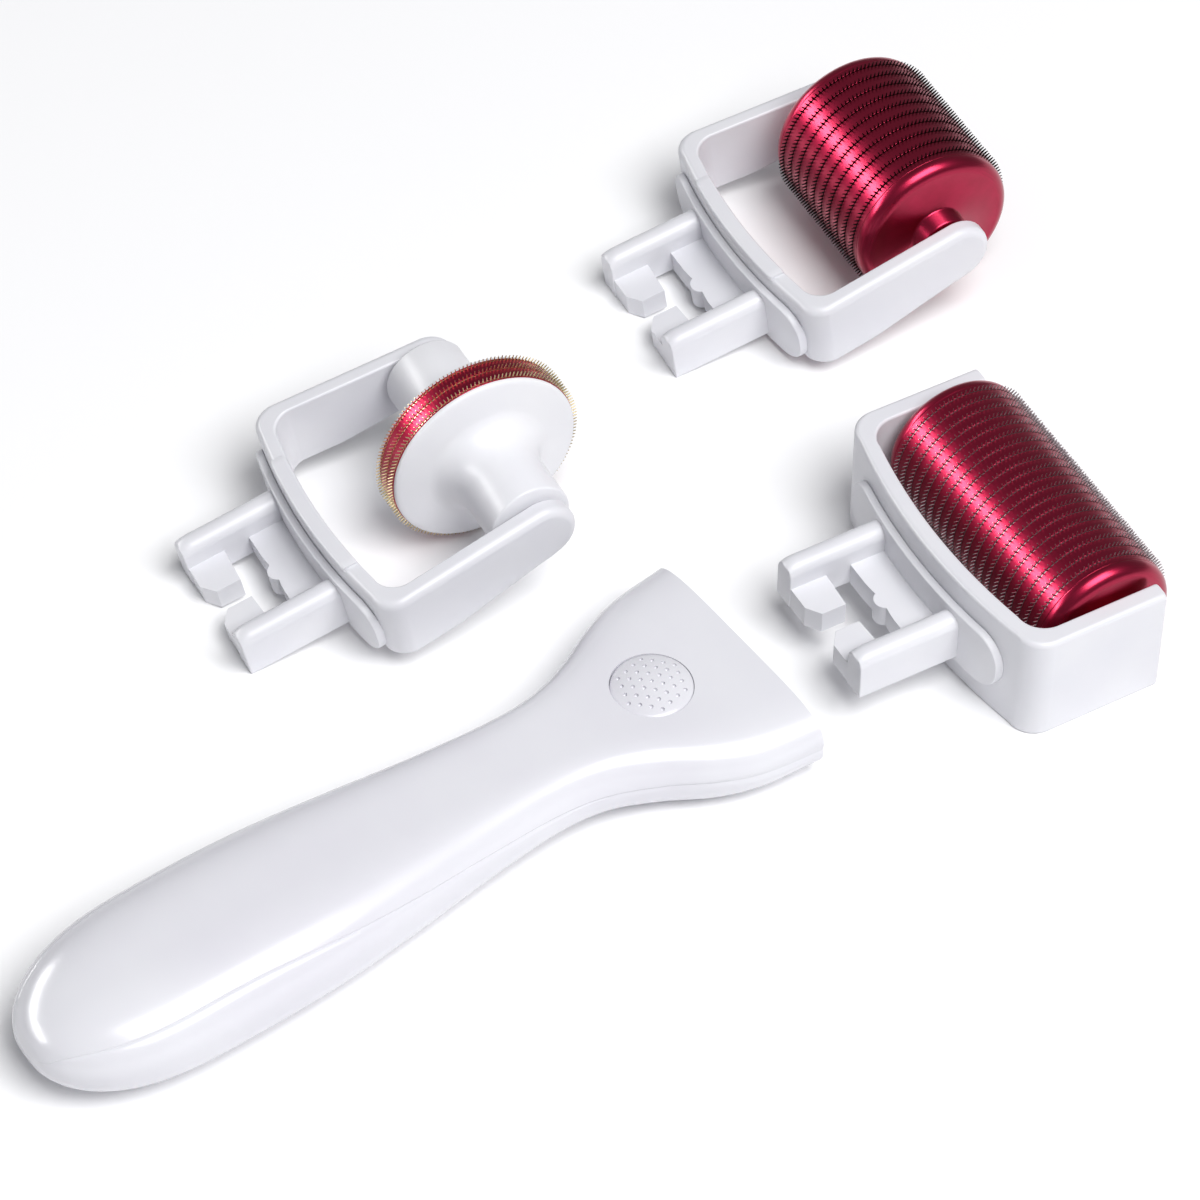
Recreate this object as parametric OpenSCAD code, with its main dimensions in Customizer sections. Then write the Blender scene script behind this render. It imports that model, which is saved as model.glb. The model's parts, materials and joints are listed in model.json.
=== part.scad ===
// Three-in-one derma roller kit: a hollow handle and three snap-in roller heads lying beside it.
// X runs along the handle from its butt to its mouth, Y across it, Z up from the table.

/* [Handle] */
// Length of the handle from butt to mouth
handle_l = 130; // [124:1:136]
// Widest part of the butt
butt_w = 30.4; // [29:0.2:32]
// Narrowest part of the neck
neck_w = 20.8; // [20:0.2:22]
// Width of the flared mouth
mouth_w = 43; // [42:0.5:44]
// Thickness of the butt
butt_h = 17; // [16:0.5:18]
// Height of the mouth
mouth_h = 12.7; // [12.6:0.1:13]
// Wall of the moulded shells
wall = 1.5; // [1.4:0.1:1.6]

/* [Release button] */
// Diameter of the thumb button
button_d = 13; // [12:0.5:14]
// Distance from the mouth to the middle of the button
button_back = 17; // [16.5:0.5:18]

/* [Tang] */
// Length of the two prongs that enter the handle
tang_l = 17.5; // [17:0.5:18]
// Width over both prongs
tang_w = 25.4; // [25:0.2:26]
// Height of the prongs
tang_h = 8.6; // [8.4:0.1:8.8]
// Thickness of one prong
prong_w = 4; // [3.6:0.2:4.4]
// Height of the claws and of the web between the prongs
claw_h = 4.2; // [4:0.1:4.4]

/* [Narrow forks] */
// Half width of the fork at its back corners
fork_half_w = 24.2; // [24:0.2:25]
// Half width of the fork at the arm tips
fork_tip_half_w = 21.6; // [21.4:0.2:22]
// Height of the fork
fork_h = 13.2; // [13:0.2:13.6]
// Wall of the arms
arm_wall = 3.2; // [3:0.1:3.4]
// Distance from the tang tips to the axle
axle_x = 49; // [48.5:0.5:50]

/* [Wide fork] */
// Half width of the wide fork
wide_half_w = 28; // [27.8:0.2:29]
// Height of the wide fork
wide_h = 21; // [20:0.5:22]
// Distance from the tang tips to the wide roller's axle
wide_axle_x = 38; // [37.5:0.5:38.5]

/* [Rollers] */
// Radius of the narrow wheel's metal band
disc_r = 16.1; // [15.8:0.1:16.4]
// Radius of the middle roller's drum
mid_r = 14; // [13.6:0.1:14.2]
// Radius of the wide roller's drum
wide_r = 11.7; // [11.4:0.1:11.8]
// Needle length beyond the drum
needle_l = 0.9; // [0.5:0.1:1]
// Needle rings on the narrow, middle and wide rollers
ring_count = [3, 10, 20];
// Spacing of the needle rings on the narrow, middle and wide rollers
ring_pitch = [2, 2.6, 2.12];
// Radius of the steel axle pins
axle_r = 1.5; // [1.4:0.1:1.6]

/* [Hidden] */
$fn = 64;

white = "#f4f4f7";
crimson = "#9c1538";
steel = "#b9bcc2";
acetal = "#e9e7e0";

// Middle of the whole kit, measured from the butt of the handle
kit_middle = [113.92, 28.05];
// Where each head lies: tang tips X and Y from the butt, and the turn about Z
disc_place = [71.9, 60.1, -7.7];
mid_place = [164.5, 72.8, -8.2];
wide_place = [142.2, -4.1, -7.1];

// Heights above the underside of the tang
axle_z = 8.2;
fork_bottom = -0.4;
wide_bottom = -6.6;
wide_axle_z = 7;

// A narrow head rests on its tang tips and on its needles, so it lies nose up
function rest_pitch(tip_r) =
    asin(tip_r / norm([axle_x, axle_z])) - atan2(axle_z, axle_x);

disc_tip_r = disc_r + needle_l;
mid_tip_r = mid_r + needle_l;
wide_tip_r = wide_r + needle_l;

// Middle of the bowed flange and of the fork's back wall
flange_x = tang_l - 0.7;
flange_t = 1.4;
flange_h = 11;
bow = 2.2;
fit_gap = 0.02;
fork_x = flange_x + flange_t + fit_gap;
back_wall = 2.9;

// Turned parts and their running gaps
core_r = 6;
bush_r = 2.6;
hub_r = 7;
hub_small_r = 4.6;
ring_t = 0.2;
drum_edge = 1.2;
disc_edge = 0.35;
bore_gap = 0.06;
side_gap = 0.3;
seat_y = 19.1;
hub_y = seat_y - side_gap;

// Socket behind the mouth: its back, the spring seat, and the button's collar, stem and crown
socket_back = handle_l - tang_l - 2.3;
seat_z = 6.4;
seat_t = 0.8;
collar_z = 9.6;
stem_r = 2;
stem_z = 7;
crown_r = 19;
crown_edge_z = 12.9;

// Gap between the two claws
claw_gap = 4;

// ---------------------------------------------------------------- helpers

// Points of an arc about a centre, from angle a to angle b
function arc(centre, r, a, b, steps = 8) =
    [for (i = [0:steps]) centre + r * [cos(a + (b - a) * i / steps), sin(a + (b - a) * i / steps)]];

// Smooth curve through a list of key values: Catmull-Rom between keys i and i+1
function blend(k, i, t) =
    let (n = len(k) - 1, a = k[max(i - 1, 0)], b = k[i], c = k[min(i + 1, n)], d = k[min(i + 2, n)])
    0.5 * (2 * b + (c - a) * t + (2 * a - 5 * b + 4 * c - d) * t * t
        + (3 * b - a - 3 * c + d) * t * t * t);

module head_at(place, pitch, lift = 0) {
    translate([place[0] - kit_middle[0], place[1] - kit_middle[1], lift])
        rotate([0, -pitch, place[2]])
            children();
}

module disc_head_place() {
    head_at(disc_place, rest_pitch(disc_tip_r)) children();
}

module mid_head_place() {
    head_at(mid_place, rest_pitch(mid_tip_r)) children();
}

module wide_head_place() {
    head_at(wide_place, 0, -wide_bottom) children();
}

module handle_place() {
    translate([-kit_middle[0], -kit_middle[1], 0]) children();
}

// Cylinder along Y between two Y values
module y_rod(r, y0, y1) {
    translate([0, y0, 0]) rotate([-90, 0, 0]) cylinder(r = r, h = y1 - y0);
}

module y_ring(r_out, r_in, y0, y1) {
    translate([0, y0, 0]) rotate([-90, 0, 0])
        difference() {
            cylinder(r = r_out, h = y1 - y0);
            translate([0, 0, -1]) cylinder(r = r_in, h = y1 - y0 + 2);
        }
}

// ---------------------------------------------------------------- handle

// Key sections along the handle: [position, half width, underside, top, squareness of the flanks,
// squareness of the top]
handle_keys = [
    [0.6, 4.4, 5.6, 11.4, 2, 2],
    [3, 8.3, 3, 13.7, 2.1, 2.1],
    [9, 12.5, 0.9, 15.8, 2.4, 2.3],
    [19, 14.8, 0.1, butt_h - 0.2, 2.7, 2.3],
    [33, butt_w / 2, 0.04, butt_h, 3, 2.2],
    [47, 14.7, 0.3, butt_h - 0.4, 3.4, 2.1],
    [60, 13.4, 1, 15.9, 4, 1.9],
    [74, 11.6, 1.9, 15.1, 4.8, 1.7],
    [88, neck_w / 2, 2.5, 14.5, 5.4, 1.6],
    [97, 11, 2.3, 14, 5.8, 1.6],
    [105, 13.8, 1.3, 13.5, 6, 1.7],
    [113, 18, 0.4, mouth_h + 0.3, 6, 2],
    [120, 20.4, 0.1, mouth_h + 0.1, 5, 2.6],
    [handle_l, mouth_w / 2, 0.05, mouth_h, 4.4, 3.4]
];
under_square = 2.6;
ring_steps = 3;
ring_points = 40;

// Point of a section at an angle: p squares its flanks and q its top
function superellipse(a, w, h, p, q) =
    let (n = sin(a) < 0 ? under_square : q)
    [w * sign(cos(a)) * pow(abs(cos(a)), 2 / p), h * sign(sin(a)) * pow(abs(sin(a)), 2 / n)];

// One ring of the handle's skin, moved inwards by the inset
function handle_ring(k, inset) =
    let (w = k[1] - inset, h = (k[3] - k[2]) / 2 - inset, z = (k[3] + k[2]) / 2)
    [for (j = [0:ring_points - 1])
        let (p = superellipse(360 * j / ring_points, w, h, k[4], k[5])) [k[0], p[0], z + p[1]]];

function handle_rings(inset, first, last) =
    [for (i = [first:last - 1]) for (s = [0:ring_steps - 1])
        handle_ring(blend(handle_keys, i, s / ring_steps), inset)];

// Closed skin over a list of rings
module skin(rings) {
    n = ring_points;
    m = len(rings);
    points = [for (r = rings) for (p = r) p];
    sides = [for (i = [0:m - 2]) for (j = [0:n - 1]) for (half = [0, 1])
        let (a = i * n + j, b = i * n + (j + 1) % n, c = a + n, d = b + n)
        half == 0 ? [a, c, b] : [b, c, d]];
    ends = [[for (j = [0:n - 1]) j], [for (j = [n - 1:-1:0]) (m - 1) * n + j]];
    polyhedron(points, concat(sides, ends), convexity = 6);
}

module handle_outer() {
    last = len(handle_keys) - 1;
    skin(concat([[for (j = [0:ring_points - 1]) [0, 0.8 * cos(360 * j / ring_points),
            8.5 + 0.8 * sin(360 * j / ring_points)]]],
        handle_rings(0, 0, last), [handle_ring(handle_keys[last], 0)]));
}

module handle_hollow() {
    last = len(handle_keys) - 1;
    end = handle_ring(handle_keys[last], wall);
    skin(concat(handle_rings(wall, 1, last), [end, [for (p = end) p + [1, 0, 0]]]));
}

// Side view of the space above the parting line, which climbs towards the butt
module above_parting() {
    rotate([90, 0, 0])
        linear_extrude(height = mouth_w + 4, center = true)
            polygon([[-2, 9], [3, 11.6], [9, 13.2], [20, 14.2], [33, 14.4], [45, 13.6], [60, 12],
                [74, 10.6], [88, 9.3], [105, 7.6], [handle_l + 2, 6.2], [handle_l + 2, 30], [-2, 30]]);
}

module button_hole() {
    translate([handle_l - button_back, 0, 8]) cylinder(d = button_d + 0.3, h = 10);
}

module lower_shell() {
    color(white) handle_place() difference() {
        handle_outer();
        handle_hollow();
        above_parting();
    }
}

module upper_shell() {
    color(white) handle_place() difference() {
        intersection() {
            handle_outer();
            above_parting();
        }
        handle_hollow();
        button_hole();
    }
}

module at_button(z) {
    translate([handle_l - button_back, 0, z]) children();
}

// Rear wall, guide rails, spring seat and the T-shaped catch that the claws snap round
module socket_frame() {
    rail_t = 0.8;
    rail_y = tang_w / 2 + 0.25;
    rail_z = 3.5;
    rail_h = 6;
    back_t = 1.8;
    catch_w = 3.2;
    catch_z = 2.6;
    catch_h = 3.6;
    catch_l = tang_l - 4.9;
    head_w = 8;
    head_l = 2.8;
    seat_w = 14;
    seat_l = 10.2;
    color(acetal) handle_place() difference() {
        union() {
            translate([socket_back, -rail_y - rail_t, rail_z])
                cube([back_t, 2 * (rail_y + rail_t), rail_h]);
            for (y = [-rail_y - rail_t, rail_y])
                translate([socket_back, y, rail_z]) cube([handle_l - 2 - socket_back, rail_t, rail_h]);
            translate([socket_back, -catch_w / 2, catch_z]) cube([catch_l, catch_w, catch_h]);
            translate([socket_back + catch_l - 1.4, -head_w / 2, catch_z])
                cube([head_l, head_w, catch_h]);
            translate([socket_back, -seat_w / 2, seat_z]) cube([seat_l, seat_w, seat_t]);
        }
        at_button(seat_z - 1) cylinder(r = stem_r + 0.4, h = 3);
        at_button(seat_z + seat_t) cylinder(r = button_d / 2 + 1.2, h = rail_h);
    }
}

// Domed thumb button with a collar under the shell and a stem through the spring
module release_button() {
    r = button_d / 2;
    collar = 0.7;
    edge = asin(r / crown_r);
    color(white) handle_place() {
        at_button(0) rotate_extrude()
            polygon(concat([[0, collar_z], [r + collar, collar_z], [r + collar, collar_z + collar],
                [r, collar_z + collar]],
                arc([0, crown_edge_z - crown_r * cos(edge)], crown_r, 90 - edge, 90)));
        at_button(stem_z) cylinder(r = stem_r, h = collar_z - stem_z);
    }
}

module button_spring() {
    coil_r = 3.4;
    coil_wire = 0.6;
    color(steel) handle_place() at_button(seat_z + seat_t) difference() {
        cylinder(r = coil_r, h = collar_z - seat_z - seat_t);
        translate([0, 0, -1]) cylinder(r = coil_r - coil_wire, h = 5);
    }
}

// ---------------------------------------------------------------- tang and flange

// How far the bowed back of a fork lies behind its middle at a distance y from it
function bow_at(y) = bow * pow(2 * y / mouth_w, 2);

// Bowed line as seen from above, from -y to +y
function bowed(x, y, steps = 12) =
    [for (i = [-steps:steps]) [x + bow_at(y * i / steps), y * i / steps]];

function reverse(points) = [for (i = [len(points) - 1:-1:0]) points[i]];

function mirrored(points) = [for (p = points) [p[0], -p[1]]];

// Two prongs with inward claws at their tips, joined by a low web in front of the flange
module tang() {
    half = tang_w / 2;
    inner = half - prong_w;
    reach = claw_gap / 2;
    web_x = 11;
    for (side = [0, 1]) mirror([0, side, 0]) {
        intersection() {
            linear_extrude(height = tang_h)
                polygon(concat([[0, inner], [0, half]],
                    [for (i = [4:-1:0]) [flange_x + bow_at(inner + prong_w * i / 4),
                        inner + prong_w * i / 4]]));
            translate([0, half + 1, 0]) rotate([90, 0, 0]) linear_extrude(height = prong_w + 2)
                polygon([[0, 0], [40, 0], [40, tang_h], [1.2, tang_h], [0, tang_h - 1.2]]);
        }
        linear_extrude(height = claw_h)
            polygon([[0, inner], [0, reach + 2.4], [1.9, reach], [6.2, reach], [6.6, inner]]);
    }
    linear_extrude(height = claw_h)
        polygon(concat([for (i = [-8:8]) [flange_x + bow_at(inner * i / 8), inner * i / 8]],
            [[web_x, inner], [web_x + 0.4, 2.6]], arc([web_x + 0.6, 0], 1.7, 90, 270),
            [[web_x + 0.4, -2.6], [web_x, -inner]]));
}

// Stop plate that closes the handle's mouth, bowed like the back of the fork
module flange() {
    half = mouth_w / 2;
    r = flange_h / 2 - 0.6;
    top = tang_h / 2 + flange_h / 2;
    low = tang_h / 2 - flange_h / 2;
    intersection() {
        translate([0, 0, low]) linear_extrude(height = flange_h)
            polygon(concat(bowed(flange_x, half), reverse(bowed(flange_x + flange_t, half))));
        rotate([90, 0, 90]) linear_extrude(height = 40)
            polygon(concat(arc([half - r, low + r], r, -90, 0), arc([half - r, top - r], r, 0, 90),
                arc([r - half, top - r], r, 90, 180), arc([r - half, low + r], r, 180, 270)));
    }
}

// Raised strip hooked over the rim of a narrow fork's back wall
module rim_clip() {
    translate([0, 0, fork_bottom + fork_h]) linear_extrude(height = 0.6)
        polygon(concat(bowed(fork_x + 0.2, 13), reverse(bowed(fork_x + back_wall - 0.3, 13))));
}

// ---------------------------------------------------------------- forks

// Half of a fork's outline from above: the middle of its back, round its corner, to an arm's tip
function fork_outer(half, tip_half, tip_x, r) =
    concat([for (i = [0:8]) [fork_x + bow_at((half - r) * i / 8), (half - r) * i / 8]],
        arc([fork_x + bow_at(half - r) + r, half - r], r, 180, 92, 6), [[tip_x, tip_half]]);

function fork_inner(half, tip_half, tip_x, r) =
    concat([[tip_x, tip_half]], arc([fork_x + back_wall + bow_at(half - r) + r, half - r], r, 92, 180, 6),
        [for (i = [8:-1:0]) [fork_x + back_wall + bow_at((half - r) * i / 8), (half - r) * i / 8]]);

module fork_plan(half, tip_half, tip_x, r) {
    in_half = half - arm_wall;
    outline = concat(fork_outer(half, tip_half, tip_x, r),
        fork_inner(in_half, tip_half - arm_wall, tip_x, r));
    polygon(concat(outline, reverse(mirrored(outline))));
}

module axle_bore(x, z, end_y) {
    translate([x, 0, z]) y_rod(axle_r, -end_y, end_y);
}

module narrow_fork() {
    top = fork_bottom + fork_h;
    tip_r = 5.5;
    tip = [axle_x + 0.8, top - tip_r];
    difference() {
        intersection() {
            translate([0, 0, fork_bottom]) linear_extrude(height = fork_h)
                fork_plan(fork_half_w, fork_tip_half_w, axle_x + 8, 4);
            translate([0, 40, 0]) rotate([90, 0, 0]) linear_extrude(height = 80)
                polygon(concat([[0, top], [0, fork_bottom], [32, fork_bottom], [42, 0.7]],
                    arc(tip, tip_r, -88, 90, 16)));
        }
        translate([axle_x, 0, axle_z]) y_rod(hub_r + 0.4, -seat_y, seat_y);
        axle_bore(axle_x, axle_z, seat_y + 2);
    }
}

module wide_fork() {
    top = wide_bottom + wide_h;
    end_x = wide_axle_x + 7.5;
    difference() {
        intersection() {
            translate([0, 0, wide_bottom]) linear_extrude(height = wide_h)
                fork_plan(wide_half_w, wide_half_w, end_x, 4.5);
            translate([0, 40, 0]) rotate([90, 0, 0]) linear_extrude(height = 80)
                polygon([[0, wide_bottom], [end_x - 0.8, wide_bottom], [end_x, wide_bottom + 0.8],
                    [end_x, top - 1], [end_x - 1, top], [0, top]]);
        }
        axle_bore(wide_axle_x, wide_axle_z, wide_half_w - 1.2);
    }
}

// ---------------------------------------------------------------- rollers, about their own axle

function ring_y(kind, i) = (i - (ring_count[kind] - 1) / 2) * ring_pitch[kind];
function drum_half(kind, edge) = ring_y(kind, ring_count[kind] - 1) + edge;

module needle_rings(kind, tip_r) {
    for (i = [0:ring_count[kind] - 1])
        y_ring(tip_r, core_r, ring_y(kind, i) - ring_t / 2, ring_y(kind, i) + ring_t / 2);
}

module drum_rings(kind, r, edge) {
    for (i = [0:ring_count[kind] - 2])
        y_ring(r, core_r, ring_y(kind, i) + ring_t / 2, ring_y(kind, i + 1) - ring_t / 2);
    last = ring_y(kind, ring_count[kind] - 1) + ring_t / 2;
    end = drum_half(kind, edge);
    y_ring(r, core_r, last, end);
    y_ring(r, core_r, -end, -last);
}

// Turned shape about Y from a list of [radius, y]; side 1 lies at +Y, side -1 is its mirror
module turned(profile, side) {
    mirror([0, side > 0 ? 0 : 1, 0]) rotate([-90, 0, 0])
        rotate_extrude() polygon(profile);
}

// End cap with a rounded edge, a shallow dish and a boss that reaches the arm
module end_cap(side, r, y0, boss_y) {
    face = y0 + 2.4;
    turned(concat([[bush_r, y0], [r, y0], [r, y0 + 0.9]], arc([r - 1.4, y0 + 1], 1.4, 0, 90, 6),
        [[r - 2.4, face], [r - 3.6, face - 0.8], [hub_small_r + 1, face - 0.6],
            [hub_small_r, face], [hub_small_r, boss_y], [bush_r, boss_y]]), side);
}

// Dished white side disc whose hub flares out of its face
module side_disc(side, y0, boss_y) {
    rim = disc_r - 0.4;
    flare_r = rim - 0.3;
    flare_y = boss_y * 0.52;
    turned(concat([[bush_r, y0], [rim, y0], [rim, y0 + 0.6]],
        [for (i = [0:8]) let (a = 90 * i / 8)
            [flare_r - (flare_r - hub_r) * sin(a), flare_y - (flare_y - y0 - 0.9) * cos(a)]],
        [[hub_r, boss_y - 0.6], [hub_r - 0.5, boss_y], [bush_r, boss_y]]), side);
}

module bushes(boss_y) {
    bush_l = 4;
    y_ring(bush_r, axle_r + bore_gap, -boss_y, bush_l - boss_y);
    y_ring(bush_r, axle_r + bore_gap, boss_y - bush_l, boss_y);
}

module at_narrow_axle() {
    translate([axle_x, 0, axle_z]) children();
}

module at_wide_axle() {
    translate([wide_axle_x, 0, wide_axle_z]) children();
}

// ---------------------------------------------------------------- disc head

module disc_head_tang() {
    color(white) disc_head_place() tang();
}

module disc_head_flange() {
    color(white) disc_head_place() flange();
}

module disc_head_rim_clip() {
    color(white) disc_head_place() rim_clip();
}

module disc_head_fork() {
    color(white) disc_head_place() narrow_fork();
}

module disc_axle() {
    color(steel) disc_head_place() at_narrow_axle() y_rod(axle_r, -seat_y - 1.9, seat_y + 1.9);
}

disc_half = drum_half(0, disc_edge);

module disc_side_left() {
    color(white) disc_head_place() at_narrow_axle() {
        side_disc(1, disc_half, hub_y);
        y_ring(core_r, bush_r, -disc_half, disc_half);
    }
}

module disc_side_right() {
    color(white) disc_head_place() at_narrow_axle() side_disc(-1, disc_half, hub_y);
}

module disc_band_rings() {
    color(crimson) disc_head_place() at_narrow_axle() drum_rings(0, disc_r, disc_edge);
}

module disc_needle_rings() {
    color(steel) disc_head_place() at_narrow_axle() needle_rings(0, disc_tip_r);
}

module disc_bushes() {
    color(acetal) disc_head_place() at_narrow_axle() bushes(hub_y);
}

// ---------------------------------------------------------------- middle head

mid_half = drum_half(1, drum_edge);

module mid_head_tang() {
    color(white) mid_head_place() tang();
}

module mid_head_flange() {
    color(white) mid_head_place() flange();
}

module mid_head_rim_clip() {
    color(white) mid_head_place() rim_clip();
}

module mid_head_fork() {
    color(white) mid_head_place() narrow_fork();
}

module mid_axle() {
    color(steel) mid_head_place() at_narrow_axle() y_rod(axle_r, -seat_y - 1.9, seat_y + 1.9);
}

module mid_core() {
    color(acetal) mid_head_place() at_narrow_axle() y_ring(core_r, bush_r, -mid_half, mid_half);
}

module mid_drum_rings() {
    color(crimson) mid_head_place() at_narrow_axle() drum_rings(1, mid_r, drum_edge);
}

module mid_needle_rings() {
    color(steel) mid_head_place() at_narrow_axle() needle_rings(1, mid_tip_r);
}

module mid_cap_left() {
    color(crimson) mid_head_place() at_narrow_axle() end_cap(1, mid_r, mid_half, hub_y);
}

module mid_cap_right() {
    color(crimson) mid_head_place() at_narrow_axle() end_cap(-1, mid_r, mid_half, hub_y);
}

module mid_bushes() {
    color(acetal) mid_head_place() at_narrow_axle() bushes(hub_y);
}

// ---------------------------------------------------------------- wide head

wide_half = drum_half(2, drum_edge);
wide_hub_y = wide_half_w - arm_wall - side_gap;

module wide_head_tang() {
    color(white) wide_head_place() tang();
}

module wide_head_flange() {
    color(white) wide_head_place() flange();
}

module wide_head_fork() {
    color(white) wide_head_place() wide_fork();
}

module wide_axle() {
    color(steel) wide_head_place() at_wide_axle() y_rod(axle_r, 1.3 - wide_half_w, wide_half_w - 1.3);
}

module wide_core() {
    color(acetal) wide_head_place() at_wide_axle() y_ring(core_r, bush_r, -wide_half, wide_half);
}

module wide_drum_rings() {
    color(crimson) wide_head_place() at_wide_axle() drum_rings(2, wide_r, drum_edge);
}

module wide_needle_rings() {
    color(steel) wide_head_place() at_wide_axle() needle_rings(2, wide_tip_r);
}

module wide_cap_left() {
    color(crimson) wide_head_place() at_wide_axle() end_cap(1, wide_r, wide_half, wide_hub_y);
}

module wide_cap_right() {
    color(crimson) wide_head_place() at_wide_axle() end_cap(-1, wide_r, wide_half, wide_hub_y);
}

module wide_bushes() {
    color(acetal) wide_head_place() at_wide_axle() bushes(wide_hub_y);
}

lower_shell();
upper_shell();
socket_frame();
release_button();
button_spring();
disc_head_tang();
disc_head_flange();
disc_head_rim_clip();
disc_head_fork();
disc_axle();
disc_side_left();
disc_side_right();
disc_band_rings();
disc_needle_rings();
disc_bushes();
mid_head_tang();
mid_head_flange();
mid_head_rim_clip();
mid_head_fork();
mid_axle();
mid_core();
mid_drum_rings();
mid_needle_rings();
mid_cap_left();
mid_cap_right();
mid_bushes();
wide_head_tang();
wide_head_flange();
wide_head_fork();
wide_axle();
wide_core();
wide_drum_rings();
wide_needle_rings();
wide_cap_left();
wide_cap_right();
wide_bushes();
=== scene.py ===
import json
import math

import bmesh
import bpy
from mathutils import Matrix, Vector


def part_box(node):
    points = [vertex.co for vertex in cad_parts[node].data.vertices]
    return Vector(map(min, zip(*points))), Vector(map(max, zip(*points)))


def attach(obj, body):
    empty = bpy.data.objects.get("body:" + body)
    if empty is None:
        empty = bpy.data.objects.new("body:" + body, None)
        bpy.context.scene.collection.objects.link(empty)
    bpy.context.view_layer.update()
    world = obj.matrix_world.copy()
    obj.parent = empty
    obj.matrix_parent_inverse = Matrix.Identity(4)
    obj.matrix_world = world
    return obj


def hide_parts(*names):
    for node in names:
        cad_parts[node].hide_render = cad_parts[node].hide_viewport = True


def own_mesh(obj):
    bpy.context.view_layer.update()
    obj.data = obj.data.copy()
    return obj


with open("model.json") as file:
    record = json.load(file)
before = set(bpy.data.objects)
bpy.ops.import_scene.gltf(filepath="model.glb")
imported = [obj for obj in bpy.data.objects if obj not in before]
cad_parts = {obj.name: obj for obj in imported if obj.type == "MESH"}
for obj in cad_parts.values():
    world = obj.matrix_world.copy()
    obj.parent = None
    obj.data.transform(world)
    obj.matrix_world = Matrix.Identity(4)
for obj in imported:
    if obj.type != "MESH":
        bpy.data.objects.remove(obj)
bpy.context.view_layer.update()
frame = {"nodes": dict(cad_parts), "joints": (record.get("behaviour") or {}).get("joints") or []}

# ---- Table, light and camera ------------------------------------------------------------------
# A white sweep of matt acrylic board under a large square diffuser. It stands high on the near
# side, so that the far walls fall into shade, and a long strip is mirrored along the rollers.

MM = 0.001
nodes = frame["nodes"]
joints = {joint["name"]: joint for joint in frame["joints"]}
scene = bpy.context.scene


def hex_colour(text):
    """sRGB hex to linear RGBA."""
    values = [int(text[i:i + 2], 16) / 255 for i in (1, 3, 5)]
    linear = [v / 12.92 if v <= 0.04045 else ((v + 0.055) / 1.055) ** 2.4 for v in values]
    return (*linear, 1.0)


def add_node(tree, kind, links=(), **settings):
    """Adds a node to a tree. links are (own socket, other node's output) pairs."""
    node = tree.nodes.new(kind)
    for name, value in settings.items():
        if name.startswith("in_"):
            key = name[3:]
            node.inputs[int(key) if key.isdigit() else key.replace("_", " ")].default_value = value
        else:
            setattr(node, name, value)
    for socket, output in links:
        tree.links.new(output, node.inputs[socket])
    return node


def new_material(name, slot_shader):
    """A node material with its shader settings on the Principled sockets themselves."""
    material = bpy.data.materials.new(name)
    material.use_nodes = True
    shader = material.node_tree.nodes["Principled BSDF"]
    for socket, value in slot_shader.items():
        shader.inputs[socket].default_value = value
    return material, material.node_tree, shader


def white_board():
    material, tree, shader = new_material("matt_acrylic_board", {
        "Base Color": hex_colour("#FCFCFD"), "Roughness": 0.6, "IOR": 1.49})
    place = add_node(tree, "ShaderNodeTexCoord")
    grain = add_node(tree, "ShaderNodeTexNoise", [("Vector", place.outputs["Object"])],
                     in_Scale=400.0, in_Detail=2.0)
    bump = add_node(tree, "ShaderNodeBump", [("Height", grain.outputs["Fac"])],
                    in_Strength=0.05, in_Distance=0.0001)
    tree.links.new(bump.outputs["Normal"], shader.inputs["Normal"])
    return material


def table():
    size = 2.0
    mesh = bpy.data.meshes.new("table_board")
    corners = [(-size, -size, 0), (size, -size, 0), (size, size, 0), (-size, size, 0)]
    mesh.from_pydata(corners, [], [(0, 1, 2, 3)])
    board = bpy.data.objects.new("table_board", mesh)
    scene.collection.objects.link(board)
    mesh.materials.append(white_board())


def area_light(name, place, aim, size, watts, lights_matt=True):
    """A rectangular lamp; one that doesn't light matt surfaces is only seen mirrored."""
    light = bpy.data.lights.new(name, "AREA")
    light.shape = "RECTANGLE"
    light.size, light.size_y = size
    light.energy = watts
    lamp = bpy.data.objects.new(name, light)
    lamp.visible_diffuse = lights_matt
    lamp.location = place
    lamp.rotation_euler = (Vector(aim) - Vector(place)).to_track_quat("-Z", "Y").to_euler()
    scene.collection.objects.link(lamp)


def camera():
    aim, distance = Vector((6.58, -4.25, 6.0)) * MM, 0.7874
    azimuth, elevation = math.radians(-36.0), math.radians(48.5)
    flat = math.cos(elevation)
    back = Vector((math.sin(azimuth) * flat, -math.cos(azimuth) * flat, math.sin(elevation)))
    data = bpy.data.cameras.new("camera")
    data.lens, data.sensor_width = 150.0, 36.0
    data.clip_start, data.clip_end = 0.05, 10.0
    eye = bpy.data.objects.new("camera", data)
    eye.location = aim + back * distance
    eye.rotation_euler = (-back).to_track_quat("-Z", "Y").to_euler()
    scene.collection.objects.link(eye)
    scene.camera = eye


def studio():
    world = bpy.data.worlds.new("studio")
    scene.world = world
    world.use_nodes = True
    sky = world.node_tree.nodes["Background"]
    sky.inputs["Color"].default_value = hex_colour("#EDEEF2")
    sky.inputs["Strength"].default_value = 0.26
    scene.view_settings.view_transform = "Standard"
    area_light("key", (0.12, -0.8, 1.45), (0, 0, 0), (1.1, 1.1), 31.0)
    area_light("strip", (-0.47, 0.48, 0.33), (0.03, 0, 0.015), (0.9, 0.16), 5.5,
               lights_matt=False)


table()
studio()
camera()

# ---- Handle shells ------------------------------------------------------------------------------
# The handle is two gloss white ABS mouldings that clip together along a line which climbs from the
# mouth to the butt. It swells in the palm, narrows at the neck and flares to a flat, open mouth.

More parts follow.
